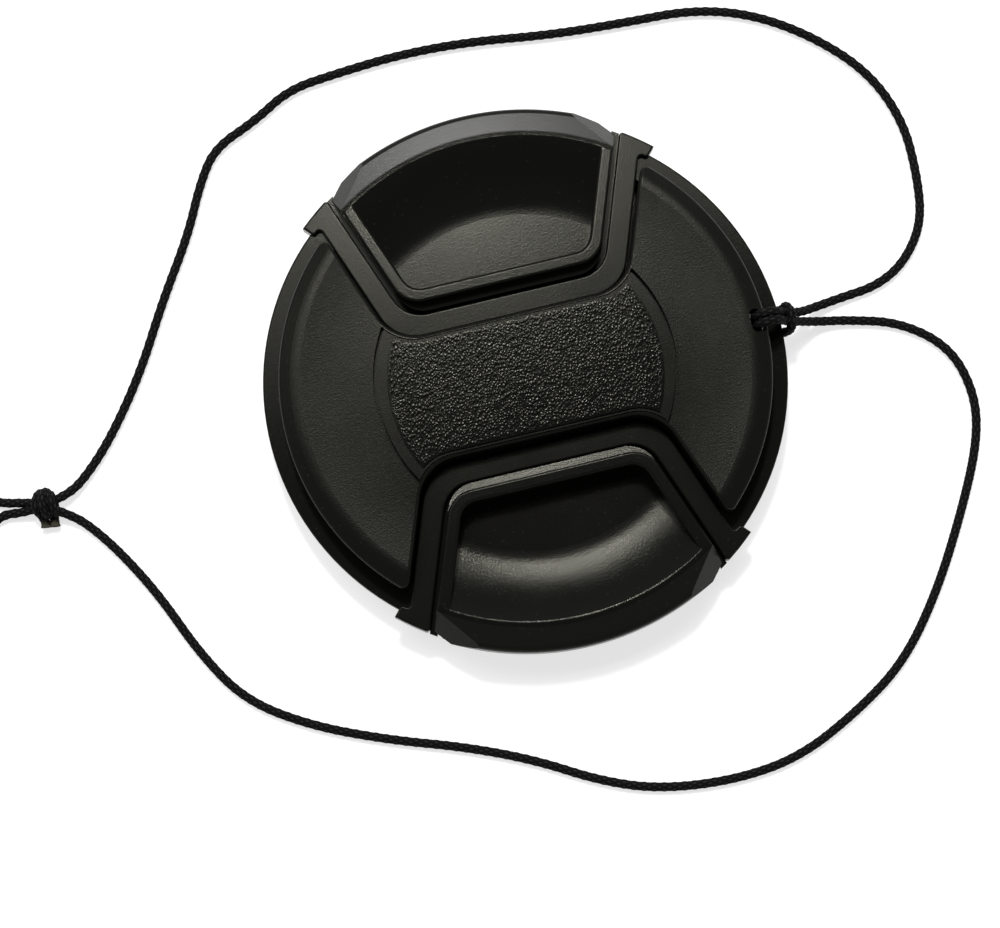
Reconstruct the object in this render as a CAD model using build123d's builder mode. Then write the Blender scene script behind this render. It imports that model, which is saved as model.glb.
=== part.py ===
from build123d import *
import os
from math import asin, cos, degrees, pi, radians, sin, tan

os.makedirs("parts", exist_ok=True)

# Lens cap with two pinch tabs, millimetres. Front face up, rear rim on z = 0, axis of the cap on Z.
# The two finger tabs slide along Y, and the tether hole is at +X.

# Filter thread that the cap clips into
thread_d = 58.0
thread_pitch = 0.75
tooth_count = 3

# Base: rear floor, skirt, flange and the two raised frames round the tabs
flange_over = 1.0
flange_t = 1.2
skirt_depth = 3.4
skirt_clearance = 0.8
skirt_wall = 1.5
floor_z = 1.0
floor_t = 1.0
frame_rise = 0.6
frame_bar_t = 0.8
frame_w = 2.5
frame_corner_r = 3.6
leg_angle = 20.0
window_edge_y = 10.05
window_half_w = 11.63
ear_over = 1.0
ear_w = 1.6
ear_past = 1.1
ear_round = 1.1
leg_round = 0.4
ledge_w = 0.9
ledge_t = 0.6
edge_round = 0.25

# Front cover: two wings joined by a bridge across the middle
cover_step = 2.0
cover_rise = 2.9
cover_gap = 0.3
cover_wall = 1.2
cover_roof = 1.6
crest_in = 1.9
crest_rise = 0.6
bevel_drop = 0.5
crest_round = 3.0
cover_round = 0.4
wing_tip_r = 0.8
peg_d = 2.4
peg_fit = 0.1
peg_in = 4.6
peg_y = 8.0
boss_wall = 1.0

# Centre plate: a smooth border round a raised grained field
wing_w = 8.8
plate_t = 0.8
plate_inset = 0.35
groove_w = 0.4
border_w = 1.2
field_inset = 0.3
field_rise = 0.2
plate_fit = 0.1

# Finger tabs
tab_travel = 0.85
tab_clearance = 0.25
slide_clearance = 0.2
tab_floor_t = 1.4
lip_rise = 2.4
lip_w = 1.5
lip_round = 0.3
shelf_w = 0.9
shelf_t = 0.25
shelf_rake = 14.0
recess_corner_r = 2.2
recess_round = 0.4
scoop_w = 6.8
scoop_rake = 14.0
scoop_lead = 1.6
bar_over = 1.4
bar_slope = 9.0
bar_round = 0.8
facet_angle = 55.0
facet_in = 0.45
facet_end_in = 2.6
facet_from_angle = 23.0
facet_to_angle = 33.0
facet_l = 6.0
tongue_half_w = 9.0
tongue_t = 1.9
stop_w = 1.4
stop_gap = 0.1
stop_rise = 0.8
latch_wall = 1.2
latch_gap = 0.6
latch_z = 0.4
latch_step = 0.1
ridge_clearance = 0.1

# Springs, one behind each tab
spring_wire = 0.35
spring_d = 2.55
spring_turns = 6
spring_gap = 0.02
rib_half_w = 4.0
rib_t = 1.2
spring_peg_d = 1.5
spring_peg_l = 1.8

# Tether cord, its hole at the rim and its knot
cord_d = 1.1
hole_in = 1.1
hole_w = 1.35
hole_l = 2.7
hole_boss_r = 2.0
strand_y = 0.6
bight_y = 1.75
bight_out = 1.1
notch_half_w = 2.6
bight_top = 6.5
exit_out = 2.6
exit_z = 4.75
rim_out = 0.2
rim_z = 5.55
climb_in = 0.6
hitch_top = 8.5
hitch_drop = 0.85
lie_z = 0.6
knot_centre = (-56.8, -0.75, 1.8)
wrap_count = 3
wrap_r = 1.2
tail_d = 0.9
tail_drop = -0.8
tail_l = 2.9
fold_r = 1.1
bend_share = 0.45

# Radii and places worked out from the thread
flange_r = thread_d / 2 + flange_over
ear_r = flange_r + ear_over
ear_in_r = ear_r - ear_w
bar_r = flange_r + bar_over
cover_r = flange_r - cover_step
crest_r = cover_r - crest_in
peg_x = crest_r - peg_in
plate_r = crest_r - wing_w - groove_w
field_r = plate_r - border_w
recess_r = cover_r
scoop_start_r = recess_r - scoop_w
floor_end_r = scoop_start_r - scoop_lead
facet_r = bar_r - facet_in
facet_end_r = bar_r - facet_end_in
hole_x = cover_r - hole_in
climb_x = flange_r - climb_in
rim_x = flange_r + rim_out
bight_x = flange_r + bight_out
exit_x = flange_r + exit_out

# Levels and edges worked out from the sizes above
floor_top = floor_z + floor_t
flange_z = skirt_depth
deck_z = flange_z + flange_t
frame_z = deck_z + frame_rise
frame_bar_z = frame_z - frame_bar_t
cover_z = deck_z + cover_rise
cover_ceiling = cover_z - cover_roof
pocket_z = cover_z - plate_t
crest_z = cover_z + crest_rise
cover_edge_z = crest_z - bevel_drop
tab_z = floor_top + slide_clearance
tab_floor_z = tab_z + tab_floor_t
lip_z = deck_z + lip_rise
scoop_foot_z = tab_floor_z + scoop_lead * tan(radians(scoop_rake / 2))
tab_side_z = flange_z + ledge_t + slide_clearance
shelf_z = frame_z + slide_clearance
tongue_top = tab_z + tongue_t
stop_top = tongue_top + stop_rise
skirt_r = thread_d / 2 - skirt_clearance
skirt_in_r = skirt_r - skirt_wall
tab_skirt_r = skirt_r - latch_step
tooth_r = thread_d / 2 - ridge_clearance
latch_in_r = tab_skirt_r - latch_wall
floor_cut_r = latch_in_r - tab_travel - latch_gap
frame_edge_y = window_edge_y - frame_w
cover_edge_y = frame_edge_y - cover_gap
tab_edge_y = window_edge_y + tab_clearance + tab_travel
stop_y = frame_edge_y - stop_gap
tongue_end_y = stop_y - stop_w
spring_z = tab_z + spring_d / 2 + spring_gap
relief_half_w = tongue_half_w + tab_clearance
relief_z = stop_top + slide_clearance
bar_drop = (bar_r - recess_r) * tan(radians(bar_slope))
far_y = 2 * flange_r
tall = 4 * flange_t + 2 * lip_z


def leg_x(y, offset):
    """Half width between the slanted sides of a tab window, moved out by offset."""
    return window_half_w + (y - window_edge_y) * tan(radians(leg_angle)) + offset / cos(radians(leg_angle))


def window_points(edge_y, offset, shift=0.0):
    """Corners of a tab window: the straight edge at edge_y, the sides moved out by offset."""
    near = leg_x(edge_y - shift, offset)
    far = leg_x(far_y - shift, offset)
    return [(-near, edge_y), (near, edge_y), (far, far_y), (-far, far_y)]


def rounded_window(points, radius, limit_r):
    """Window outline with round inner corners, cut off by a circle."""
    with BuildSketch() as window:
        with BuildLine():
            Polyline(*points, close=True)
        make_face()
        fillet(window.vertices().group_by(Axis.Y)[0], radius)
        Circle(limit_r, mode=Mode.INTERSECT)
    return window.sketch


def both_sides(sketch):
    """A sketch and its copy turned half round the cap."""
    return [sketch, sketch.rotate(Axis.Z, 180)]


leg_off_axis = leg_x(0, frame_w) * cos(radians(leg_angle))
ear_angle = leg_angle + degrees(asin(leg_off_axis / ear_in_r) + ear_past / ear_in_r)
frame_outline = window_points(frame_edge_y, frame_w)
frame_outer_r = frame_corner_r + frame_w / 2
cover_outer_r = frame_outer_r + cover_gap
cover_offset = frame_w + cover_gap
window = rounded_window(window_points(window_edge_y, 0), frame_corner_r, far_y)
frame_low = rounded_window(frame_outline, frame_outer_r, skirt_r)
frame_high = rounded_window(frame_outline, frame_outer_r, ear_r)
cover_cut = rounded_window(window_points(cover_edge_y, cover_offset), cover_outer_r, far_y)
cover_wall_cut = rounded_window(
    window_points(cover_edge_y - cover_wall, cover_offset + cover_wall), cover_outer_r, far_y
)
pocket_cut = rounded_window(
    window_points(cover_edge_y - plate_inset, cover_offset + plate_inset), cover_outer_r, far_y
)
plate_cut_inset = plate_inset + plate_fit
plate_cut = rounded_window(
    window_points(cover_edge_y - plate_cut_inset, cover_offset + plate_cut_inset), cover_outer_r, far_y
)
field_cut_inset = plate_cut_inset + field_inset
field_cut = rounded_window(
    window_points(cover_edge_y - field_cut_inset, cover_offset + field_cut_inset), cover_outer_r, far_y
)
tab_outline = window_points(tab_edge_y, -tab_clearance, tab_travel)
tab_corner_r = frame_corner_r - tab_clearance
recess_outline = window_points(tab_edge_y + lip_w, -tab_clearance - lip_w, tab_travel)
foot_outline = window_points(tab_edge_y, -tab_clearance - ledge_w, tab_travel)
shelf_outline = window_points(tab_edge_y - shelf_w, -tab_clearance, tab_travel)
with BuildSketch() as ledges:
    add(rounded_window(window_points(window_edge_y, 0), frame_corner_r, ear_r))
    add(rounded_window(window_points(frame_edge_y, -ledge_w), frame_corner_r, far_y), mode=Mode.SUBTRACT)

# Raised frames: a bar across and two legs round each tab, with ears that stand out past the flange
with BuildPart() as frames:
    with BuildSketch(Plane.XY.offset(flange_z)) as outline:
        with BuildLine():
            Polyline((0, 0), *[(far_y * sin(radians(a)), far_y * cos(radians(a)))
                               for a in (-ear_angle, 0, ear_angle)], close=True)
        make_face()
        Circle(ear_r, mode=Mode.INTERSECT)
        Circle(ear_in_r, mode=Mode.SUBTRACT)
        ear_tips = outline.vertices().filter_by(lambda v: v.X ** 2 + v.Y ** 2 > flange_r ** 2)
        fillet(outline.vertices() - ear_tips, leg_round)
        fillet(ear_tips, ear_round)
        add(frame_high)
        add(window, mode=Mode.SUBTRACT)
        leg_ends = outline.vertices().filter_by(
            lambda v: v.X ** 2 + v.Y ** 2 > skirt_r ** 2
            and min(abs(abs(v.X) - leg_x(v.Y, side)) for side in (0, frame_w)) < edge_round
        )
        fillet(leg_ends, leg_round)
    extrude(amount=frame_z - flange_z)
    fillet(frames.faces().sort_by(Axis.Z)[-1].edges(), edge_round)
    mirror(about=Plane.XZ)

# Base, moulded in one: floor, skirt, flange, frames and ears
with BuildPart() as base:
    with BuildSketch(Plane.XZ):
        with BuildLine():
            Polyline(
                (0, floor_z),
                (skirt_in_r, floor_z),
                (skirt_in_r, 0),
                (skirt_r, 0),
                (skirt_r, flange_z),
                (flange_r, flange_z),
                (flange_r, deck_z),
                (skirt_in_r, deck_z),
                (skirt_in_r, floor_top),
                (0, floor_top),
                close=True,
            )
        make_face()
    revolve(axis=Axis.Z)
    circles = base.edges().filter_by(GeomType.CIRCLE)
    fillet(circles.filter_by(lambda e: e.radius > flange_r - edge_round), edge_round)
    with BuildSketch(Plane.XY.offset(floor_top)):
        add(both_sides(frame_low))
    extrude(amount=flange_z - floor_top)
    with BuildSketch(Plane.XY.offset(floor_top)):
        add(both_sides(window))
    extrude(amount=tall, mode=Mode.SUBTRACT)
    add(frames.part)
    # Ledges under both sides of each tab
    with BuildSketch(Plane.XY.offset(flange_z)):
        add(both_sides(ledges.sketch))
    extrude(amount=ledge_t)
    with BuildSketch():
        add(both_sides(window))
        Circle(floor_cut_r, mode=Mode.SUBTRACT)
    extrude(amount=floor_top, mode=Mode.SUBTRACT)
    # Way for the tab's tongue under the frame's bar
    with BuildSketch(Plane.XY.offset(floor_top)):
        Rectangle(2 * relief_half_w, 2 * (window_edge_y + frame_corner_r))
    extrude(amount=frame_bar_z - floor_top, mode=Mode.SUBTRACT)
    # Rib that both springs push against, and sockets for the cover's pegs
    with BuildSketch(Plane.XY.offset(floor_top)):
        Rectangle(2 * rib_half_w, rib_t)
    extrude(amount=frame_z - floor_top)
    with BuildSketch(Plane.XY.offset(floor_top)):
        with GridLocations(2 * peg_x, 2 * peg_y, 2, 2):
            Circle(peg_d / 2 + peg_fit + boss_wall)
    extrude(amount=flange_z - floor_top)
    with BuildSketch(Plane.XY.offset(floor_top)):
        with GridLocations(2 * peg_x, 2 * peg_y, 2, 2):
            Circle(peg_d / 2 + peg_fit)
    extrude(amount=flange_z, mode=Mode.SUBTRACT)
    # Tether hole in its boss, and the notch in the skirt below it
    with BuildSketch(Plane.XY.offset(floor_top)):
        with Locations((hole_x, 0)):
            Circle(hole_boss_r)
        Circle(skirt_r, mode=Mode.INTERSECT)
    extrude(amount=deck_z - floor_top)
    with BuildSketch(Plane.XY):
        with Locations((hole_x, 0)):
            SlotOverall(hole_l, hole_w, rotation=90)
    extrude(amount=tall, mode=Mode.SUBTRACT)
    with BuildSketch():
        with Locations((hole_x + flange_r / 2 - hole_w / 2, 0)):
            Rectangle(flange_r, 2 * notch_half_w)
    extrude(amount=flange_z, mode=Mode.SUBTRACT)
base.part.label = "base"
export_step(base.part, "parts/base.step")

# Front cover: dished wings, bevelled outside, with a bridge that holds the centre plate
with BuildPart() as front_cover:
    with BuildSketch(Plane.XZ) as profile:
        with BuildLine():
            Polyline(
                (crest_r, crest_z),
                (cover_r, cover_edge_z),
                (cover_r, deck_z),
                (0, deck_z),
                (0, cover_z),
                (plate_r + groove_w, cover_z),
            )
            TangentArc((plate_r + groove_w, cover_z), (crest_r, crest_z), tangent=(1, 0))
        make_face()
        fillet(profile.vertices().sort_by(Axis.Y)[-1], crest_round)
    revolve(axis=Axis.Z)
    with BuildSketch(Plane.XY.offset(deck_z)):
        add(both_sides(cover_cut))
    extrude(amount=tall, mode=Mode.SUBTRACT)
    tips = front_cover.edges().filter_by(Axis.Z).filter_by(
        lambda e: e.center().X ** 2 + e.center().Y ** 2 > crest_r ** 2
    )
    fillet(tips, wing_tip_r)
    upper_edges = front_cover.edges().filter_by(lambda e: e.center().Z > cover_edge_z - cover_round)
    inner_arcs = upper_edges.filter_by(GeomType.CIRCLE).filter_by(
        lambda e: frame_edge_y + cover_outer_r < e.radius < cover_r - edge_round
    )
    fillet(upper_edges - inner_arcs, cover_round)
    with BuildSketch(Plane.XY.offset(deck_z)):
        Circle(cover_r - cover_wall)
        for cut in both_sides(cover_wall_cut):
            add(cut, mode=Mode.SUBTRACT)
    extrude(amount=cover_ceiling - deck_z, mode=Mode.SUBTRACT)
    with BuildSketch(Plane.XY.offset(deck_z)):
        Rectangle(2 * relief_half_w, 2 * cover_edge_y)
    extrude(amount=relief_z - deck_z, mode=Mode.SUBTRACT)
    with BuildSketch(Plane.XY.offset(pocket_z)):
        Circle(plate_r + groove_w)
        for cut in both_sides(pocket_cut):
            add(cut, mode=Mode.SUBTRACT)
    extrude(amount=tall, mode=Mode.SUBTRACT)
    with BuildSketch(Plane.XY.offset(floor_top + peg_fit)):
        with GridLocations(2 * peg_x, 2 * peg_y, 2, 2):
            Circle(peg_d / 2)
    extrude(amount=cover_ceiling - floor_top)
    with BuildSketch(Plane.XY.offset(deck_z)):
        with Locations((hole_x, 0)):
            Circle(hole_boss_r)
        Circle(cover_r, mode=Mode.INTERSECT)
    extrude(amount=cover_ceiling - deck_z)
    with BuildSketch(Plane.XY.offset(deck_z)):
        with Locations((hole_x, 0)):
            SlotOverall(hole_l, hole_w, rotation=90)
    extrude(amount=tall, mode=Mode.SUBTRACT)
front_cover.part.label = "front_cover"
export_step(front_cover.part, "parts/front_cover.step")

# Centre plate set into the bridge
with BuildPart() as centre_plate:
    with BuildSketch(Plane.XY.offset(pocket_z)):
        Circle(plate_r)
        for cut in both_sides(plate_cut):
            add(cut, mode=Mode.SUBTRACT)
    extrude(amount=plate_t)
    with BuildSketch(Plane.XY.offset(cover_z)):
        Circle(field_r)
        for cut in both_sides(field_cut):
            add(cut, mode=Mode.SUBTRACT)
    extrude(amount=field_rise)
centre_plate.part.label = "centre_plate"
export_step(centre_plate.part, "parts/centre_plate.step")

# Latch of a tab: a skirt segment with ridges that catch the filter thread
with BuildPart() as latch:
    with BuildSketch(Plane.XZ):
        with BuildLine():
            ridges = []
            for n in range(tooth_count):
                foot = latch_z + n * thread_pitch
                ridges += [(tab_skirt_r, foot), (tooth_r, foot + thread_pitch / 2)]
            Polyline((latch_in_r, latch_z), *ridges, (tab_skirt_r, latch_z + tooth_count * thread_pitch),
                     (tab_skirt_r, flange_z), (latch_in_r, flange_z), close=True)
        make_face()
    revolve(axis=Axis.Z)
    with BuildSketch():
        add(rounded_window(foot_outline, tab_corner_r, far_y))
    extrude(amount=flange_z, mode=Mode.INTERSECT)

# Hollow of the finger recess: flat floor, scooped up to the outer bar
with BuildPart() as recess:
    with BuildSketch(Plane.XZ):
        with BuildLine():
            rake = (cos(radians(scoop_rake)), sin(radians(scoop_rake)))
            TangentArc((floor_end_r, tab_floor_z), (scoop_start_r, scoop_foot_z), tangent=(1, 0))
            TangentArc((scoop_start_r, scoop_foot_z), (recess_r, lip_z), tangent=rake)
            Polyline(
                (recess_r, lip_z),
                (recess_r, tall),
                (0, tall),
                (0, tab_floor_z),
                (floor_end_r, tab_floor_z),
            )
        make_face()
    revolve(axis=Axis.Z)
    with BuildSketch(Plane.XY.offset(tab_floor_z)):
        add(rounded_window(recess_outline, recess_corner_r, far_y))
    extrude(amount=tall, mode=Mode.INTERSECT)

# Sloped shelf behind the tab's lip, which slides over the frame's bar and covers the gap
shelf_edge_y = tab_edge_y - shelf_w
shelf_end_y = tab_edge_y + tab_corner_r
shelf_rise = (shelf_end_y - shelf_edge_y) * tan(radians(shelf_rake))
with BuildPart() as shelf:
    with BuildSketch(Plane.YZ):
        with BuildLine():
            Polyline(
                (shelf_edge_y, shelf_z),
                (shelf_end_y, shelf_z),
                (shelf_end_y, shelf_z + shelf_t + shelf_rise),
                (shelf_edge_y, shelf_z + shelf_t),
                close=True,
            )
        make_face()
    extrude(amount=far_y, both=True)
    with BuildSketch():
        add(rounded_window(shelf_outline, tab_corner_r, far_y))
    extrude(amount=tall, mode=Mode.INTERSECT)

# Sloped facets that bring the ends of the tab's bar down to the frame
facet_from = Vector(facet_r * sin(radians(facet_from_angle)), facet_r * cos(radians(facet_from_angle)))
facet_to = Vector(facet_end_r * sin(radians(facet_to_angle)), facet_end_r * cos(radians(facet_to_angle)))
facet_run = (facet_to - facet_from).normalized()
facet_out = Vector(-facet_run.Y, facet_run.X)
facet_tilt = facet_out * sin(radians(facet_angle)) + Vector(0, 0, cos(radians(facet_angle)))
facet_mid = (facet_from + facet_to) / 2 + Vector(0, 0, lip_z - bar_drop / 2)
with BuildPart() as facets:
    with BuildSketch(Plane(origin=facet_mid, x_dir=facet_run, z_dir=facet_tilt)):
        Rectangle(2 * facet_l, 2 * facet_l)
    extrude(amount=facet_l)
    mirror(about=Plane.YZ)

# Finger tab at +Y, moulded in one with its latch, tongue, stop and spring peg
with BuildPart() as tab_far:
    with BuildSketch(Plane.XY.offset(tab_side_z)):
        add(rounded_window(tab_outline, tab_corner_r, bar_r))
    extrude(amount=lip_z - tab_side_z)
    lip_edges = tab_far.edges().group_by(Axis.Z)[-1]
    outer_arc = lip_edges.filter_by(GeomType.CIRCLE).filter_by(lambda e: e.radius > recess_r)
    fillet(lip_edges - outer_arc, lip_round)
    with BuildSketch(Plane.XZ):
        with BuildLine():
            Polyline((recess_r, lip_z), (bar_r, lip_z - bar_drop), (far_y, lip_z - bar_drop), (far_y, tall),
                     (recess_r, tall), close=True)
        make_face()
    revolve(axis=Axis.Z, mode=Mode.SUBTRACT)
    bar_edges = tab_far.edges().filter_by(GeomType.CIRCLE).filter_by(lambda e: e.radius > flange_r)
    fillet(bar_edges.sort_by(Axis.Z)[-1], bar_round)
    add(facets.part, mode=Mode.SUBTRACT)
    add(shelf.part)
    with BuildSketch(Plane.XY.offset(flange_z)):
        add(rounded_window(foot_outline, tab_corner_r, ear_r))
    extrude(amount=tab_side_z - flange_z)
    add(recess.part, mode=Mode.SUBTRACT)
    recess_side = -tab_clearance - lip_w + recess_round
    recess_edges = tab_far.edges().group_by(Axis.Z)[-1].filter_by(
        lambda e: e.center().Y > tab_edge_y + lip_w / 2
        and abs(e.center().X) < leg_x(e.center().Y - tab_travel, recess_side)
    )
    fillet(recess_edges, recess_round)
    with BuildSketch(Plane.XY.offset(tab_z)):
        add(rounded_window(foot_outline, tab_corner_r, tab_skirt_r))
    extrude(amount=flange_z - tab_z)
    add(latch.part)
    with BuildSketch(Plane.XY.offset(tab_z)):
        with Locations((0, (tongue_end_y + tab_edge_y + lip_w) / 2)):
            Rectangle(2 * tongue_half_w, tab_edge_y + lip_w - tongue_end_y)
    extrude(amount=tongue_t)
    with BuildSketch(Plane.XY.offset(tab_z)):
        with Locations((0, tongue_end_y + stop_w / 2)):
            Rectangle(2 * tongue_half_w, stop_w)
    extrude(amount=stop_top - tab_z)
    with BuildSketch(Plane.XZ.offset(-tongue_end_y)):
        with Locations((0, spring_z)):
            Circle(spring_peg_d / 2)
    extrude(amount=spring_peg_l)
tab_far.part.label = "tab_far"
export_step(tab_far.part, "parts/tab_far.step")

# Finger tab at -Y, the same moulding turned half round
with BuildPart() as tab_near:
    add(tab_far.part.rotate(Axis.Z, 180))
tab_near.part.label = "tab_near"
export_step(tab_near.part, "parts/tab_near.step")

# Spring behind the +Y tab: a round wire coil from the rib to the end of the tongue
spring_foot_y = rib_t / 2 + spring_gap + spring_wire / 2
spring_l = tongue_end_y - spring_gap - spring_wire / 2 - spring_foot_y
with BuildPart() as spring_far:
    with BuildLine() as coil:
        Helix(
            pitch=spring_l / spring_turns,
            height=spring_l,
            radius=(spring_d - spring_wire) / 2,
            center=(0, spring_foot_y, spring_z),
            direction=(0, 1, 0),
        )
    with BuildSketch(Plane(origin=coil.line @ 0, z_dir=coil.line % 0)):
        Circle(spring_wire / 2)
    sweep()
spring_far.part.label = "spring_far"
export_step(spring_far.part, "parts/spring_far.step")

with BuildPart() as spring_near:
    add(spring_far.part.rotate(Axis.Z, 180))
spring_near.part.label = "spring_near"
export_step(spring_near.part, "parts/spring_near.step")

# Knot that closes the tether: wraps side by side on the line of the strands, and two cut tails
knot_half_l = wrap_count * cord_d / 2
wrap_ends = [n * cord_d - knot_half_l for n in range(wrap_count + 1)]
with BuildPart() as cord_knot:
    with BuildSketch(Plane(origin=knot_centre)):
        with BuildLine():
            for start, end in zip(wrap_ends, wrap_ends[1:]):
                ThreePointArc((start, wrap_r), ((start + end) / 2, wrap_r + cord_d / 2), (end, wrap_r))
            Polyline((knot_half_l, wrap_r), (knot_half_l, 0), (-knot_half_l, 0), (-knot_half_l, wrap_r))
        make_face()
    revolve(axis=Axis(knot_centre, (1, 0, 0)))
    with BuildSketch(Plane(origin=knot_centre, x_dir=(1, 0, 0), z_dir=(0, -1, 0))):
        with Locations(*[(side * cord_d, tail_drop) for side in (-0.5, 0.5)]):
            Circle(tail_d / 2)
    extrude(amount=tail_l)
cord_knot.part.label = "cord_knot"
export_step(cord_knot.part, "parts/cord_knot.step")


def bend_radii(points, tightest):
    """Bend radius at each inner point of a cord's route, as large as its runs allow."""
    radii = []
    for before, here, after in zip(points, points[1:], points[2:]):
        a = Vector(*here) - Vector(*before)
        b = Vector(*after) - Vector(*here)
        half_turn = radians(a.get_angle(b)) / 2
        radii.append(min(tightest, bend_share * min(a.length, b.length) / tan(half_turn)))
    return radii


# Tether cord, node by node: the hitch at the rim, its two strands and the end loop.
# The lists hold the corners of each stretch that lies flat.
strand_from = (exit_x, strand_y, exit_z)
hitch_under = flange_z - hitch_drop
half_hitch = [
    strand_from,
    (rim_x, strand_y, rim_z),
    (climb_x, strand_y, hitch_top),
    (hole_x, strand_y, hitch_top),
    (hole_x, strand_y, hitch_under),
    (bight_x, bight_y, hitch_under),
    (bight_x, bight_y, bight_top),
]
far_lie = [
    (46.3, 4.0), (49.4, 8.1), (50.3, 13.8), (50.3, 20.4), (47.8, 27.0), (42.5, 32.7), (36.1, 37.0),
    (29.3, 39.1), (21.5, 39.4), (12.7, 40.0), (3.3, 41.4), (-5.1, 41.8), (-12.9, 41.3), (-18.7, 40.7),
    (-23.3, 38.0), (-28.6, 35.9), (-31.2, 32.2), (-34.0, 26.4), (-38.5, 19.6), (-42.9, 11.9), (-48.0, 5.1),
]
near_lie = [
    (48.9, -7.0), (50.3, -12.9), (49.2, -18.3), (45.6, -25.4), (40.4, -34.0), (34.7, -41.0), (28.3, -45.2),
    (20.4, -48.9), (12.5, -49.7), (4.0, -48.7), (-2.4, -46.2), (-9.0, -42.2), (-16.4, -38.9), (-24.6, -36.1),
    (-33.0, -32.4), (-39.6, -27.8), (-43.4, -21.4), (-46.4, -13.9), (-49.7, -7.9),
]
loop_lie = [
    (-61.9, 0.8), (-66.8, 3.4), (-72.6, 4.6), (-77.2, 0.9), (-76.4, -4.4), (-71.0, -6.0), (-66.2, -3.9),
    (-62.2, -1.2),
]
routes = {
    "cord_hitch": half_hitch + [(x, -y, z) for x, y, z in reversed(half_hitch)],
    "cord_far": [strand_from, (36.8, 1.0, 3.05), (42.0, 1.8, 1.4)]
    + [(x, y, lie_z) for x, y in far_lie]
    + [(-52.4, 1.2, 0.7), (-55.6, -0.3, 1.7)],
    "cord_near": [(exit_x, -strand_y, exit_z), (37.8, -1.2, 3.1), (43.9, -3.1, 1.3)]
    + [(x, y, lie_z) for x, y in near_lie]
    + [(-52.8, -3.5, 0.7), (-55.7, -1.4, 1.7)],
    "cord_end_loop": [(-58.0, -0.2, 1.7)] + [(x, y, lie_z) for x, y in loop_lie] + [(-58.1, -1.5, 1.7)],
}
for node, points in routes.items():
    tightest = fold_r if node == "cord_hitch" else far_y
    radii = bend_radii(points, tightest)
    with BuildPart() as tube:
        with BuildLine() as route:
            FilletPolyline(*points, radius=radii)
        with BuildSketch(Plane(origin=route.line @ 0, z_dir=route.line % 0)):
            Circle(cord_d / 2)
        sweep()
    length = sum(edge.length for edge in route.edges())
    plain_volume = pi * cord_d ** 2 / 4 * length
    print(node, "length", round(length, 1), "bend radii", [round(r, 1) for r in radii])
    print(node, "volume over section times length", round(tube.part.volume / plain_volume, 4))
    tube.part.label = node
    export_step(tube.part, f"parts/{node}.step")
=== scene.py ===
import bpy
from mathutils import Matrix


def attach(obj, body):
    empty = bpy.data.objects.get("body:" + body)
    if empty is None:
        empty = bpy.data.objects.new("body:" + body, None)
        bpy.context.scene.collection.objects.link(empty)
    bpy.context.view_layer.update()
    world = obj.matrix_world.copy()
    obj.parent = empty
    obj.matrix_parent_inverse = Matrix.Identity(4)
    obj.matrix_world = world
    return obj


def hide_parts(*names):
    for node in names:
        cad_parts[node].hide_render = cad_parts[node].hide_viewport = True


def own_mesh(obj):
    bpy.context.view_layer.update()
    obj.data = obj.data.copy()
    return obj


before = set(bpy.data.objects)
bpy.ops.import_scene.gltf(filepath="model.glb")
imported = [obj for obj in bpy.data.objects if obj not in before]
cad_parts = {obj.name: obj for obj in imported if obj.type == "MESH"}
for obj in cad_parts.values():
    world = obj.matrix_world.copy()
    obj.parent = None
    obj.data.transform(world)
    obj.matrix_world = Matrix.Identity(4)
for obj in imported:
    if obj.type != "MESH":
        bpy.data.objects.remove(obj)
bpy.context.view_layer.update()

from math import cos, pi, radians, sin, sqrt

import bmesh
import bpy
from mathutils import Matrix, Vector

MM = 0.001

# Picture: 1000 by 928 pixels, with the cap seen nearly from above
image_w, image_h = 1000, 928
cap_px = (525.5, 380.0)
axis_px = (500.0, 564.0)
px_per_mm = 8.76
deck_z = 4.6
picture_turn = radians(13.5)
camera_tilt = radians(7.0)
camera_away = 330.0

# Cord and knot
cord_d = 1.1
cord_lie_z = 0.6
strand_sides = 24
strand_steps = 56
knot_steps = 24
braid_yarns = 6
braid_pitch = 1.15
braid_relief = 0.14
fibre_depth = 0.05
fray_l = 1.3
fray_spread = 0.15

# Grained field of the centre plate: its outline, the skin that covers it, and the pebbles
field_r = 15.7
field_edge_y = 6.5
field_corner_x = 10.51
field_corner_r = 5.15
field_z = 7.7
skin_columns, skin_rows = 540, 150
skin_share = 0.9997
skin_lift = 0.02
skin_depth = 0.15
grain_cell = 0.31
grain_rise = 0.2
grain_fade = 0.35
grain_edge_share = 0.12

# Springs, in the part's sizes
spring_d = 2.55
spring_wire = 0.35
spring_turns = 6
spring_foot_y = 0.795
spring_z = 3.495
spring_l = 5.06
wire_sides = 12
coil_steps = 24

# Looks of the mouldings: the slight crown of their faces, the tabs' outer bars, and the mould's texture
crown_per_metre = 2.6
bar_in_r = 28.6
bar_blend = 0.1
bar_coat_rough = 0.32
low_z = deck_z + 0.1
low_blend = 0.2
crease_angle = radians(50)
grain_depth = 0.04
patches_per_metre = 160
specks_per_metre = 900
speck_paleness = 2.2
rub_spread = 0.03
moulded_black = (0.0055, 0.0055, 0.0048)
warm_tint = (1, 0.985, 0.84, 1)

# Table, lamps and room
table_colour = (0.45, 0.45, 0.45, 1)
table_lift = 0.7
lamp_away = 1.0
wall_rise, ceiling_rise = 0.25, 0.8
wall_light, ceiling_light = 0.55, 0.04

picture_right = Vector((cos(picture_turn), -sin(picture_turn), 0))
picture_up = Vector((sin(picture_turn), cos(picture_turn), 0))


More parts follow.
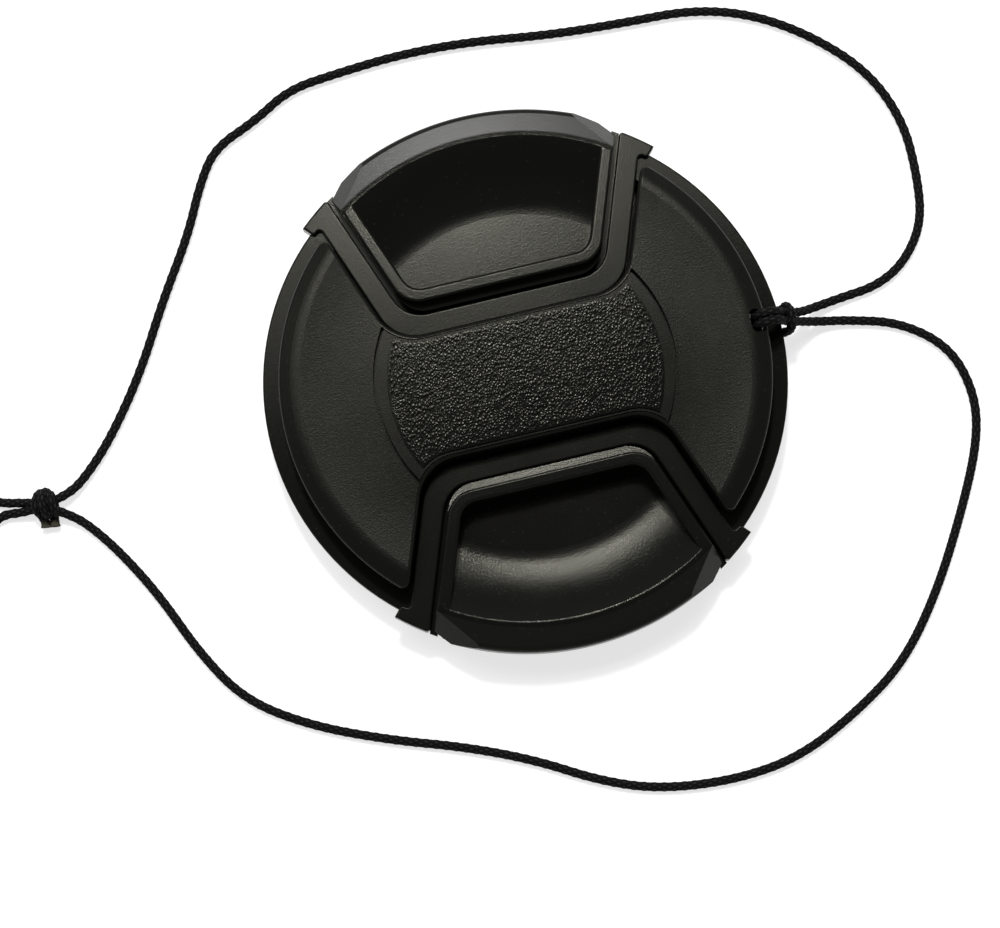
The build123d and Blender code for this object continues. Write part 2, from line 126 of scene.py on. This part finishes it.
def add_camera():
    """Camera above the cap, tilted a little towards the bottom of the picture."""
    forward = picture_up * sin(camera_tilt) - Vector((0, 0, cos(camera_tilt)))
    upward = picture_up * cos(camera_tilt) + Vector((0, 0, sin(camera_tilt)))
    aside = (cap_px[0] - axis_px[0]) / px_per_mm
    above = (axis_px[1] - cap_px[1]) / px_per_mm
    place = Vector((0, 0, deck_z)) - picture_right * aside - upward * above - forward * camera_away
    data = bpy.data.cameras.new("camera")
    data.sensor_fit = "HORIZONTAL"
    data.sensor_width = 36
    data.lens = data.sensor_width * px_per_mm * camera_away / image_w
    data.shift_x = (image_w / 2 - axis_px[0]) / image_w
    data.shift_y = (axis_px[1] - image_h / 2) / image_w
    data.clip_start = 0.01
    camera = bpy.data.objects.new("camera", data)
    turn = Matrix((picture_right, upward, -forward)).transposed()
    camera.matrix_world = Matrix.Translation(place * MM) @ turn.to_4x4()
    bpy.context.collection.objects.link(camera)
    bpy.context.scene.camera = camera


def spline_points(route, steps):
    """Points along the smooth line that has the route's corners, in mm, as control points."""
    data = bpy.data.curves.new("route", "CURVE")
    data.dimensions = "3D"
    data.resolution_u = steps
    spline = data.splines.new("NURBS")
    spline.points.add(len(route) - 1)
    for point, corner in zip(spline.points, route):
        point.co = (*[c * MM for c in corner], 1)
    spline.order_u = 3
    spline.use_endpoint_u = True
    line = bpy.data.objects.new("route", data)
    bpy.context.collection.objects.link(line)
    mesh = bpy.data.meshes.new_from_object(line)
    points = [v.co.copy() for v in mesh.vertices]
    bpy.data.meshes.remove(mesh)
    bpy.data.objects.remove(line)
    bpy.data.curves.remove(data)
    return points


def line_length(points):
    return sum((b - a).length for a, b in zip(points, points[1:]))


def braid_height(turn, along):
    """Relief of the braid, 0 to 1: staggered crowns where one yarn passes over another."""
    return abs(0.5 * (cos(braid_yarns * turn) + cos(2 * pi * along / (braid_pitch * MM))))


def braided_tube(name, points, diameter, frayed=False):
    """Braided cord along a line, closed at both ends: its crowns and frayed ends are attributes."""
    mesh = bpy.data.meshes.new(name)
    shape = bmesh.new()
    uv_layer = shape.loops.layers.uv.new("braid")
    crown_layer = shape.verts.layers.float.new("crown")
    fray_layer = shape.verts.layers.float.new("fray")
    total = line_length(points)
    tangent = (points[1] - points[0]).normalized()
    side = tangent.orthogonal().normalized()
    rings = []
    along = 0.0
    for n, point in enumerate(points):
        after = points[min(n + 1, len(points) - 1)]
        before = points[max(n - 1, 0)]
        turned = (after - before).normalized()
        side = (side - turned * side.dot(turned)).normalized()
        other = turned.cross(side)
        along += (point - before).length
        fray = max(0, 1 - min(along, total - along) / (fray_l * MM)) if frayed else 0
        ring = []
        for k in range(strand_sides):
            angle = 2 * pi * k / strand_sides
            height = braid_height(angle, along)
            reach = diameter / 2 * MM * (1 - braid_relief * (1 - height)) * (1 + fray_spread * fray)
            vert = shape.verts.new(point + (side * cos(angle) + other * sin(angle)) * reach)
            vert[crown_layer] = height
            vert[fray_layer] = fray
            ring.append(vert)
        rings.append((along, ring))
    for (start, low), (end, high) in zip(rings, rings[1:]):
        for k in range(strand_sides):
            m = (k + 1) % strand_sides
            face = shape.faces.new((low[k], low[m], high[m], high[k]))
            face.smooth = True
            spots = ((k, start), (k + 1, start), (k + 1, end), (k, end))
            for loop, (step, place) in zip(face.loops, spots):
                loop[uv_layer].uv = (place / MM, step / strand_sides)
    shape.faces.new(list(reversed(rings[0][1])))
    shape.faces.new(rings[-1][1])
    shape.to_mesh(mesh)
    shape.free()
    piece = bpy.data.objects.new(name, mesh)
    bpy.context.collection.objects.link(piece)
    return piece


# Routes of the tether, in mm: the corners of the part's tubes, eased here and there as in the picture
hitch_side = [
    (31.2, 0.0, 6.3), (31.0, 1.4, 6.2), (30.6, 1.3, 2.6), (27.5, 0.8, 2.5), (26.9, 0.5, 2.55),
    (26.9, 0.5, 8.4), (29.2, 0.5, 8.6), (30.3, 0.5, 5.8), (32.6, 0.55, 3.3),
]
far_lie = [
    (46.3, 4.0), (49.4, 8.1), (50.3, 13.8), (50.3, 20.4), (47.8, 27.0), (42.5, 32.7), (36.1, 37.0),
    (29.3, 39.1), (21.5, 39.4), (12.7, 40.0), (3.3, 41.4), (-5.1, 41.8), (-12.9, 41.3), (-18.7, 40.7),
    (-23.3, 38.0), (-28.6, 35.9), (-31.2, 32.2), (-34.0, 26.4), (-38.5, 19.6), (-42.9, 11.9), (-48.0, 5.1),
]
near_lie = [
    (48.9, -7.0), (50.3, -12.9), (49.2, -18.3), (45.6, -25.4), (40.4, -34.0), (34.7, -41.0), (28.3, -45.2),
    (20.4, -48.9), (12.5, -49.7), (4.0, -48.7), (-2.4, -46.2), (-9.0, -42.2), (-16.4, -38.9), (-24.6, -36.1),
    (-33.0, -32.4), (-39.6, -27.8), (-43.4, -21.4), (-46.4, -13.9), (-49.7, -7.9),
]
loop_lie = [
    (-61.9, 0.8), (-66.8, 3.4), (-72.6, 4.6), (-77.2, 0.9), (-76.4, -4.4), (-71.0, -6.0), (-66.2, -3.2),
    (-62.2, -0.5),
]


def flat(stretch):
    return [(x, y, cord_lie_z) for x, y in stretch]


far_route = hitch_side + [(34.6, 1.1, 1.2), (38.0, 1.6, 0.6), (42.5, 2.0, 0.6)] + flat(far_lie)
far_route += [(-52.1, 1.1, 0.7), (-54.4, -0.2, 1.2), (-56.6, -0.7, 1.7)]
near_route = [(x, -y, z) for x, y, z in hitch_side]
near_route += [(34.6, -0.6, 1.2), (38.0, -1.1, 0.6), (44.0, -2.8, 0.6)]
near_route += flat(near_lie)
near_route += [(-52.6, -3.9, 0.65), (-54.5, -2.3, 1.1), (-56.5, -1.1, 1.6)]
loop_route = [(-57.1, -0.5, 1.7), (-59.2, 0.2, 0.9)] + flat(loop_lie)
loop_route += [(-59.5, -0.9, 0.8), (-57.2, -0.9, 1.6)]

# Knot: one tail, the wraps round the four strands, and the other tail
knot_route = [
    (-57.3, -3.2, 0.7), (-57.2, -2.4, 0.75), (-57.5, -1.8, 1.2), (-57.8, -1.2, 2.2), (-57.7, -0.5, 2.8),
    (-57.4, 0.3, 2.4), (-57.0, 0.8, 1.5), (-56.7, 0.6, 0.6), (-56.5, -0.4, 0.5), (-56.6, -1.5, 0.7),
    (-56.7, -2.1, 1.6), (-56.8, -1.7, 2.6), (-57.0, -0.8, 3.2), (-56.7, 0.2, 2.8), (-56.4, 0.8, 1.8),
    (-56.1, 0.4, 0.7), (-55.9, -0.5, 0.6), (-55.8, -1.5, 0.8), (-55.8, -2.0, 1.6), (-55.9, -1.6, 2.5),
    (-56.0, -0.8, 3.0), (-56.0, 0.1, 2.4), (-55.9, 0.3, 1.4), (-56.0, -0.4, 0.65), (-56.1, -1.5, 0.6),
    (-56.2, -2.5, 0.7), (-56.3, -3.3, 0.7),
]

add_camera()
far_line = spline_points(far_route, strand_steps)
near_line = spline_points(near_route, strand_steps)
loop_line = spline_points(loop_route, strand_steps)
knot_line = spline_points(knot_route, knot_steps)
cord_far = braided_tube("cord_far_braid", far_line, cord_d)
cord_near = braided_tube("cord_near_braid", near_line, cord_d)
cord_loop = braided_tube("cord_end_loop_braid", loop_line, cord_d)
cord_knot = braided_tube("cord_knot_braid", knot_line, cord_d, frayed=True)
for piece, nodes in (
    (cord_far, ("cord_far", "cord_hitch")),
    (cord_near, ("cord_near",)),
    (cord_loop, ("cord_end_loop",)),
    (cord_knot, ("cord_knot",)),
):
    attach(piece, "body")
    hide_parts(*nodes)


def field_half_height(x):
    """Half height of the grained field at x: the plate's circle, or the edges along the frames."""
    by_circle = sqrt(max(field_r ** 2 - x ** 2, 0))
    past_corner = max(abs(x) - field_corner_x, 0)
    rise = field_corner_r - sqrt(max(field_corner_r ** 2 - past_corner ** 2, 0))
    return min(by_circle, field_edge_y + rise)


def grain_skin():
    """Pebble-grained skin of the centre plate, its relief modelled in the mesh."""
    bpy.ops.object.select_all(action="DESELECT")
    bpy.ops.mesh.primitive_grid_add(x_subdivisions=skin_columns, y_subdivisions=skin_rows, size=2)
    skin = bpy.context.object
    skin.name = "grained_field"
    inner = skin.vertex_groups.new(name="inner")
    for v in skin.data.vertices:
        x = skin_share * field_r * v.co.x
        half = field_half_height(x)
        y = half * v.co.y
        v.co = (x, y, field_z + skin_lift)
        inset = min(half - abs(y), field_r - sqrt(x * x + y * y))
        inner.add([v.index], min(max(inset / grain_fade, grain_edge_share), 1), "REPLACE")
    pebble = bpy.data.textures.new("pebble", "VORONOI")
    pebble.noise_scale = grain_cell
    pebble.weight_1 = -1
    pebble.weight_2 = 1
    relief = skin.modifiers.new("relief", "DISPLACE")
    relief.texture = pebble
    relief.texture_coords = "LOCAL"
    relief.direction = "Z"
    relief.mid_level = 0
    relief.strength = grain_rise
    relief.vertex_group = "inner"
    bpy.ops.object.modifier_apply(modifier="relief")
    bpy.ops.object.mode_set(mode="EDIT")
    bpy.ops.mesh.select_all(action="DESELECT")
    bpy.ops.mesh.select_mode(type="EDGE")
    bpy.ops.mesh.select_non_manifold()
    bpy.ops.mesh.extrude_edges_move(TRANSFORM_OT_translate={"value": (0, 0, -skin_depth)})
    bpy.ops.mesh.edge_face_add()
    bpy.ops.mesh.select_all(action="SELECT")
    bpy.ops.mesh.normals_make_consistent(inside=False)
    bpy.ops.object.mode_set(mode="OBJECT")
    skin.scale = (MM, MM, MM)
    bpy.ops.object.transform_apply(location=True, rotation=True, scale=True)
    bpy.ops.object.shade_smooth_by_angle(angle=crease_angle)
    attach(skin, "body")
    return skin


grained_field = grain_skin()


def coil_spring(name, node, side):
    """Coil spring from the rib to a tab's tongue, at +Y or -Y."""
    bpy.ops.object.select_all(action="DESELECT")
    coil_r = (spring_d - spring_wire) / 2
    bpy.ops.mesh.primitive_circle_add(
        vertices=wire_sides, radius=spring_wire / 2, location=(coil_r, 0, 0), rotation=(pi / 2, 0, 0)
    )
    spring = bpy.context.object
    spring.name = name
    bpy.ops.object.transform_apply(location=True, rotation=True, scale=True)
    coil = spring.modifiers.new("coil", "SCREW")
    coil.steps = coil_steps
    coil.render_steps = coil_steps
    coil.iterations = spring_turns
    coil.screw_offset = spring_l / spring_turns
    bpy.ops.object.modifier_apply(modifier="coil")
    bpy.ops.object.mode_set(mode="EDIT")
    bpy.ops.mesh.select_all(action="SELECT")
    bpy.ops.mesh.fill_holes(sides=wire_sides)
    bpy.ops.mesh.normals_make_consistent(inside=False)
    bpy.ops.object.mode_set(mode="OBJECT")
    spring.scale = (MM, MM, MM)
    spring.rotation_euler = (-side * pi / 2, 0, 0)
    spring.location = (0, side * spring_foot_y * MM, spring_z * MM)
    bpy.ops.object.transform_apply(location=True, rotation=True, scale=True)
    bpy.ops.object.shade_smooth_by_angle(angle=crease_angle)
    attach(spring, "body")
    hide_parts(node)
    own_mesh(spring)
    return spring


spring_far = coil_spring("spring_far_coil", "spring_far", 1)
spring_near = coil_spring("spring_near_coil", "spring_near", -1)


def new_group(name, inputs, outputs):
    """Empty shader group with its sockets, and its input and output nodes."""
    group = bpy.data.node_groups.new(name, "ShaderNodeTree")
    for label, kind, value in inputs:
        socket = group.interface.new_socket(label, in_out="INPUT", socket_type=kind)
        socket.default_value = value
    for label, kind in outputs:
        group.interface.new_socket(label, in_out="OUTPUT", socket_type=kind)
    start = group.nodes.new("NodeGroupInput")
    end = group.nodes.new("NodeGroupOutput")
    return group, start, end


def moulded_grain_group():
    """Fine spark-eroded texture of the mould, with rubbed patches and pale specks."""
    group, start, end = new_group(
        "moulded_grain",
        [("Cells per metre", "NodeSocketFloat", 6000.0)],
        [("Height", "NodeSocketFloat"), ("Patch", "NodeSocketFloat"), ("Speck", "NodeSocketFloat")],
    )
    links, nodes = group.links, group.nodes
    coords = nodes.new("ShaderNodeTexCoord")
    fine = nodes.new("ShaderNodeTexNoise")
    fine.inputs["Detail"].default_value = 3
    fine.inputs["Roughness"].default_value = 0.6
    patch = nodes.new("ShaderNodeTexNoise")
    patch.inputs["Scale"].default_value = patches_per_metre
    patch.inputs["Detail"].default_value = 4
    speck = nodes.new("ShaderNodeTexVoronoi")
    speck.feature = "F1"
    speck.inputs["Scale"].default_value = specks_per_metre
    sparse = nodes.new("ShaderNodeMapRange")
    sparse.inputs["From Min"].default_value = 0.16
    sparse.inputs["From Max"].default_value = 0.04
    links.new(coords.outputs["Object"], fine.inputs["Vector"])
    links.new(start.outputs["Cells per metre"], fine.inputs["Scale"])
    links.new(fine.outputs["Fac"], end.inputs["Height"])
    links.new(coords.outputs["Object"], patch.inputs["Vector"])
    links.new(patch.outputs["Fac"], end.inputs["Patch"])
    links.new(coords.outputs["Object"], speck.inputs["Vector"])
    links.new(speck.outputs["Distance"], sparse.inputs["Value"])
    links.new(sparse.outputs["Result"], end.inputs["Speck"])
    return group


def cap_faces_group():
    """Zones of the cap, low at the flange and on the outer bars, and the slight crown of its faces."""
    group, start, end = new_group(
        "cap_faces",
        [("Crown per metre", "NodeSocketVector", (crown_per_metre, crown_per_metre, 0))],
        [("Low", "NodeSocketFloat"), ("Bar", "NodeSocketFloat"), ("Crowned", "NodeSocketVector")],
    )
    links, nodes = group.links, group.nodes
    coords = nodes.new("ShaderNodeTexCoord")
    surface = nodes.new("ShaderNodeNewGeometry")
    place = nodes.new("ShaderNodeSeparateXYZ")
    low = nodes.new("ShaderNodeMapRange")
    low.inputs["From Min"].default_value = (low_z + low_blend) * MM
    low.inputs["From Max"].default_value = low_z * MM
    links.new(coords.outputs["Object"], place.inputs["Vector"])
    links.new(place.outputs["Z"], low.inputs["Value"])
    links.new(low.outputs["Result"], end.inputs["Low"])
    level = nodes.new("ShaderNodeVectorMath")
    level.operation = "MULTIPLY"
    level.inputs[1].default_value = (1, 1, 0)
    reach = nodes.new("ShaderNodeVectorMath")
    reach.operation = "LENGTH"
    rim = nodes.new("ShaderNodeMapRange")
    rim.inputs["From Min"].default_value = (bar_in_r - bar_blend) * MM
    rim.inputs["From Max"].default_value = (bar_in_r + bar_blend) * MM
    facing = nodes.new("ShaderNodeSeparateXYZ")
    upward = nodes.new("ShaderNodeMapRange")
    upward.inputs["From Min"].default_value = 0.86
    upward.inputs["From Max"].default_value = 0.94
    bar = nodes.new("ShaderNodeMath")
    bar.operation = "MULTIPLY"
    links.new(coords.outputs["Object"], level.inputs[0])
    links.new(level.outputs["Vector"], reach.inputs[0])
    links.new(reach.outputs["Value"], rim.inputs["Value"])
    links.new(surface.outputs["Normal"], facing.inputs["Vector"])
    links.new(facing.outputs["Z"], upward.inputs["Value"])
    links.new(rim.outputs["Result"], bar.inputs[0])
    links.new(upward.outputs["Result"], bar.inputs[1])
    links.new(bar.outputs["Value"], end.inputs["Bar"])
    outward = nodes.new("ShaderNodeVectorMath")
    outward.operation = "MULTIPLY"
    tilted = nodes.new("ShaderNodeVectorMath")
    tilted.operation = "ADD"
    crowned = nodes.new("ShaderNodeVectorMath")
    crowned.operation = "NORMALIZE"
    links.new(coords.outputs["Object"], outward.inputs[0])
    links.new(start.outputs["Crown per metre"], outward.inputs[1])
    links.new(surface.outputs["Normal"], tilted.inputs[0])
    links.new(outward.outputs["Vector"], tilted.inputs[1])
    links.new(tilted.outputs["Vector"], crowned.inputs[0])
    links.new(crowned.outputs["Vector"], end.inputs["Crowned"])
    return group


moulded_grain = moulded_grain_group()
cap_faces = cap_faces_group()


def black_plastic(name, colour, gloss, rough, bump, cells, low_rough=None, bar_coat=None):
    """Black moulded plastic: fine grain in the bump, patches in the roughness, specks in the colour.

    The base is smoother low down, at its flange, and the tabs have a rubbed shine on their outer bars.
    """
    material = bpy.data.materials.new(name)
    material.use_nodes = True
    nodes, links = material.node_tree.nodes, material.node_tree.links
    shader = nodes["Principled BSDF"]
    shader.inputs["Specular IOR Level"].default_value = gloss
    shader.inputs["Specular Tint"].default_value = warm_tint
    grain = nodes.new("ShaderNodeGroup")
    grain.node_tree = moulded_grain
    grain.inputs["Cells per metre"].default_value = cells
    faces = nodes.new("ShaderNodeGroup")
    faces.node_tree = cap_faces
    shade = nodes.new("ShaderNodeMix")
    shade.data_type = "RGBA"
    shade.inputs["A"].default_value = (*colour, 1)
    shade.inputs["B"].default_value = (*[speck_paleness * c for c in colour], 1)
    rub = nodes.new("ShaderNodeMapRange")
    rub.inputs["From Min"].default_value = 0.3
    rub.inputs["From Max"].default_value = 0.7
    rub.inputs["To Min"].default_value = rough - rub_spread
    rub.inputs["To Max"].default_value = rough + rub_spread
    relief = nodes.new("ShaderNodeBump")
    relief.inputs["Strength"].default_value = bump
    relief.inputs["Distance"].default_value = grain_depth * MM
    links.new(grain.outputs["Speck"], shade.inputs["Factor"])
    links.new(shade.outputs["Result"], shader.inputs["Base Color"])
    links.new(grain.outputs["Patch"], rub.inputs["Value"])
    links.new(rub.outputs["Result"], shader.inputs["Roughness"])
    links.new(grain.outputs["Height"], relief.inputs["Height"])
    links.new(faces.outputs["Crowned"], relief.inputs["Normal"])
    links.new(relief.outputs["Normal"], shader.inputs["Normal"])
    if low_rough:
        smooth = nodes.new("ShaderNodeMix")
        smooth.inputs["B"].default_value = low_rough
        links.new(faces.outputs["Low"], smooth.inputs["Factor"])
        links.new(rub.outputs["Result"], smooth.inputs["A"])
        links.new(smooth.outputs["Result"], shader.inputs["Roughness"])
    if bar_coat:
        shine = nodes.new("ShaderNodeMath")
        shine.operation = "MULTIPLY"
        shine.inputs[1].default_value = bar_coat
        shader.inputs["Coat Roughness"].default_value = bar_coat_rough
        links.new(faces.outputs["Bar"], shine.inputs[0])
        links.new(shine.outputs["Value"], shader.inputs["Coat Weight"])
    return material


def spring_steel():
    """Drawn spring wire with faint streaks."""
    material = bpy.data.materials.new("spring_steel")
    material.use_nodes = True
    nodes, links = material.node_tree.nodes, material.node_tree.links
    shader = nodes["Principled BSDF"]
    shader.inputs["Base Color"].default_value = (0.55, 0.55, 0.54, 1)
    shader.inputs["Metallic"].default_value = 1
    grain = nodes.new("ShaderNodeGroup")
    grain.node_tree = moulded_grain
    streak = nodes.new("ShaderNodeMapRange")
    streak.inputs["To Min"].default_value = 0.2
    streak.inputs["To Max"].default_value = 0.45
    links.new(grain.outputs["Height"], streak.inputs["Value"])
    links.new(streak.outputs["Result"], shader.inputs["Roughness"])
    return material


def braided_cord():
    """Black polyester braid: dull in the valleys; its colour is paler on the crowns and darker in the
    valleys, painted light and painted shade mixed with fibre tone; olive at the frayed ends, a painted
    shadow tone.
    """
    material = bpy.data.materials.new("braided_cord")
    material.use_nodes = True
    nodes, links = material.node_tree.nodes, material.node_tree.links
    shader = nodes["Principled BSDF"]
    shader.inputs["Specular IOR Level"].default_value = 0.12
    crown = nodes.new("ShaderNodeAttribute")
    crown.attribute_name = "crown"
    uv = nodes.new("ShaderNodeUVMap")
    uv.uv_map = "braid"
    fibre = nodes.new("ShaderNodeTexNoise")
    fibre.inputs["Scale"].default_value = 14
    fibre.inputs["Detail"].default_value = 4
    # Paler on the braid's crowns and darker in its valleys: painted light and painted shade, times the fibre
    # tone of the noise
    crown_light_and_fibre_tone = nodes.new("ShaderNodeMix")
    crown_light_and_fibre_tone.data_type = "RGBA"
    crown_light_and_fibre_tone.inputs["A"].default_value = (0.0012, 0.0012, 0.0013, 1)
    crown_light_and_fibre_tone.inputs["B"].default_value = (0.04, 0.037, 0.035, 1)
    fray = nodes.new("ShaderNodeAttribute")
    fray.attribute_name = "fray"
    # Olive towards the frayed ends: a painted shadow tone, the colour of the knot's shadow on the table
    painted_shadow_ends = nodes.new("ShaderNodeMix")
    painted_shadow_ends.data_type = "RGBA"
    painted_shadow_ends.inputs["B"].default_value = (0.05, 0.045, 0.032, 1)
    top = nodes.new("ShaderNodeMapRange")
    top.inputs["From Min"].default_value = 0.4
    mask = nodes.new("ShaderNodeMath")
    mask.operation = "MULTIPLY"
    rough = nodes.new("ShaderNodeMapRange")
    rough.inputs["To Min"].default_value = 0.85
    rough.inputs["To Max"].default_value = 0.5
    relief = nodes.new("ShaderNodeBump")
    relief.inputs["Strength"].default_value = 0.5
    relief.inputs["Distance"].default_value = fibre_depth * MM
    links.new(uv.outputs["UV"], fibre.inputs["Vector"])
    links.new(crown.outputs["Fac"], top.inputs["Value"])
    links.new(top.outputs["Result"], mask.inputs[0])
    links.new(fibre.outputs["Fac"], mask.inputs[1])
    links.new(mask.outputs["Value"], crown_light_and_fibre_tone.inputs["Factor"])
    links.new(fray.outputs["Fac"], painted_shadow_ends.inputs["Factor"])
    links.new(crown_light_and_fibre_tone.outputs["Result"], painted_shadow_ends.inputs["A"])
    links.new(painted_shadow_ends.outputs["Result"], shader.inputs["Base Color"])
    links.new(mask.outputs["Value"], rough.inputs["Value"])
    links.new(rough.outputs["Result"], shader.inputs["Roughness"])
    links.new(fibre.outputs["Fac"], relief.inputs["Height"])
    links.new(relief.outputs["Normal"], shader.inputs["Normal"])
    return material


def finish_with(piece, material):
    piece.data.materials.clear()
    piece.data.materials.append(material)


base_black = black_plastic(
    "base_black", moulded_black, gloss=0.105, rough=0.25, bump=0.35, cells=5500, low_rough=0.14
)
cover_black = black_plastic(
    "cover_black", (0.006, 0.006, 0.0052), gloss=0.1, rough=0.27, bump=0.6, cells=5500
)
tab_black = black_plastic(
    "tab_black", moulded_black, gloss=0.1, rough=0.18, bump=0.6, cells=5000, bar_coat=0.3
)
plate_black = black_plastic(
    "plate_black", moulded_black, gloss=0.12, rough=0.25, bump=0.4, cells=6000
)
field_black = black_plastic(
    "field_black", (0.0035, 0.0035, 0.003), gloss=0.115, rough=0.18, bump=0.25, cells=9000
)
cord_black = braided_cord()
steel = spring_steel()
finishes = {
    "base": base_black,
    "front_cover": cover_black,
    "centre_plate": plate_black,
    "tab_far": tab_black,
    "tab_near": tab_black,
}
for node, material in finishes.items():
    node_object = bpy.data.objects[node]
    node_object.material_slots[0].material = material
finish_with(grained_field, field_black)
finish_with(spring_far, steel)
finish_with(spring_near, steel)
for piece in (cord_far, cord_near, cord_loop, cord_knot):
    finish_with(piece, cord_black)


def add_floor():
    """White table top that keeps the shadows, lifted to white where it is seen."""
    bpy.ops.object.select_all(action="DESELECT")
    bpy.ops.mesh.primitive_plane_add(size=4, location=(0, 0, 0))
    floor = bpy.context.object
    floor.name = "table_top"
    material = bpy.data.materials.new("table_white")
    material.use_nodes = True
    shader = material.node_tree.nodes["Principled BSDF"]
    shader.inputs["Base Color"].default_value = table_colour
    shader.inputs["Roughness"].default_value = 0.9
    shader.inputs["Specular IOR Level"].default_value = 0
    nodes, links = material.node_tree.nodes, material.node_tree.links
    path = nodes.new("ShaderNodeLightPath")
    seen = nodes.new("ShaderNodeMath")
    seen.operation = "MAXIMUM"
    shown = nodes.new("ShaderNodeMath")
    shown.operation = "MAXIMUM"
    lift = nodes.new("ShaderNodeMath")
    lift.operation = "MULTIPLY"
    lift.inputs[1].default_value = table_lift
    shader.inputs["Emission Color"].default_value = (1, 1, 1, 1)
    links.new(path.outputs["Is Camera Ray"], seen.inputs[0])
    links.new(path.outputs["Is Glossy Ray"], seen.inputs[1])
    links.new(seen.outputs["Value"], shown.inputs[0])
    links.new(path.outputs["Is Transmission Ray"], shown.inputs[1])
    links.new(shown.outputs["Value"], lift.inputs[0])
    links.new(lift.outputs["Value"], shader.inputs["Emission Strength"])
    finish_with(floor, material)


def add_lamp(name, size_x, size_y, power, lean, aside):
    """Soft lamp that leans towards the top of the picture, aimed at the cap."""
    data = bpy.data.lights.new(name, "AREA")
    data.shape = "RECTANGLE"
    data.size = size_x
    data.size_y = size_y
    data.energy = power
    lamp = bpy.data.objects.new(name, data)
    direction = picture_up * sin(lean) * cos(aside) + picture_right * sin(aside) * sin(lean)
    direction.z = cos(lean)
    lamp.location = direction.normalized() * lamp_away
    lamp.rotation_euler = direction.to_track_quat("Z", "Y").to_euler()
    bpy.context.collection.objects.link(lamp)


def add_room():
    """Plain room: pale walls round the table, and a dark ceiling."""
    world = bpy.data.worlds.new("room")
    world.use_nodes = True
    nodes, links = world.node_tree.nodes, world.node_tree.links
    back = nodes["Background"]
    back.inputs["Color"].default_value = (1, 1, 1, 1)
    coords = nodes.new("ShaderNodeTexCoord")
    split = nodes.new("ShaderNodeSeparateXYZ")
    wall = nodes.new("ShaderNodeMapRange")
    wall.inputs["From Min"].default_value = wall_rise
    wall.inputs["From Max"].default_value = ceiling_rise
    wall.inputs["To Min"].default_value = wall_light
    wall.inputs["To Max"].default_value = ceiling_light
    links.new(coords.outputs["Generated"], split.inputs["Vector"])
    links.new(split.outputs["Z"], wall.inputs["Value"])
    links.new(wall.outputs["Result"], back.inputs["Strength"])
    bpy.context.scene.world = world


add_floor()
add_lamp("soft_panel", size_x=1.05, size_y=0.32, power=5.3, lean=radians(25.5), aside=radians(-18))
add_lamp("key_lamp", size_x=0.12, size_y=0.12, power=7.2, lean=radians(28.5), aside=radians(-10))
add_room()
bpy.context.scene.view_settings.view_transform = "Standard"
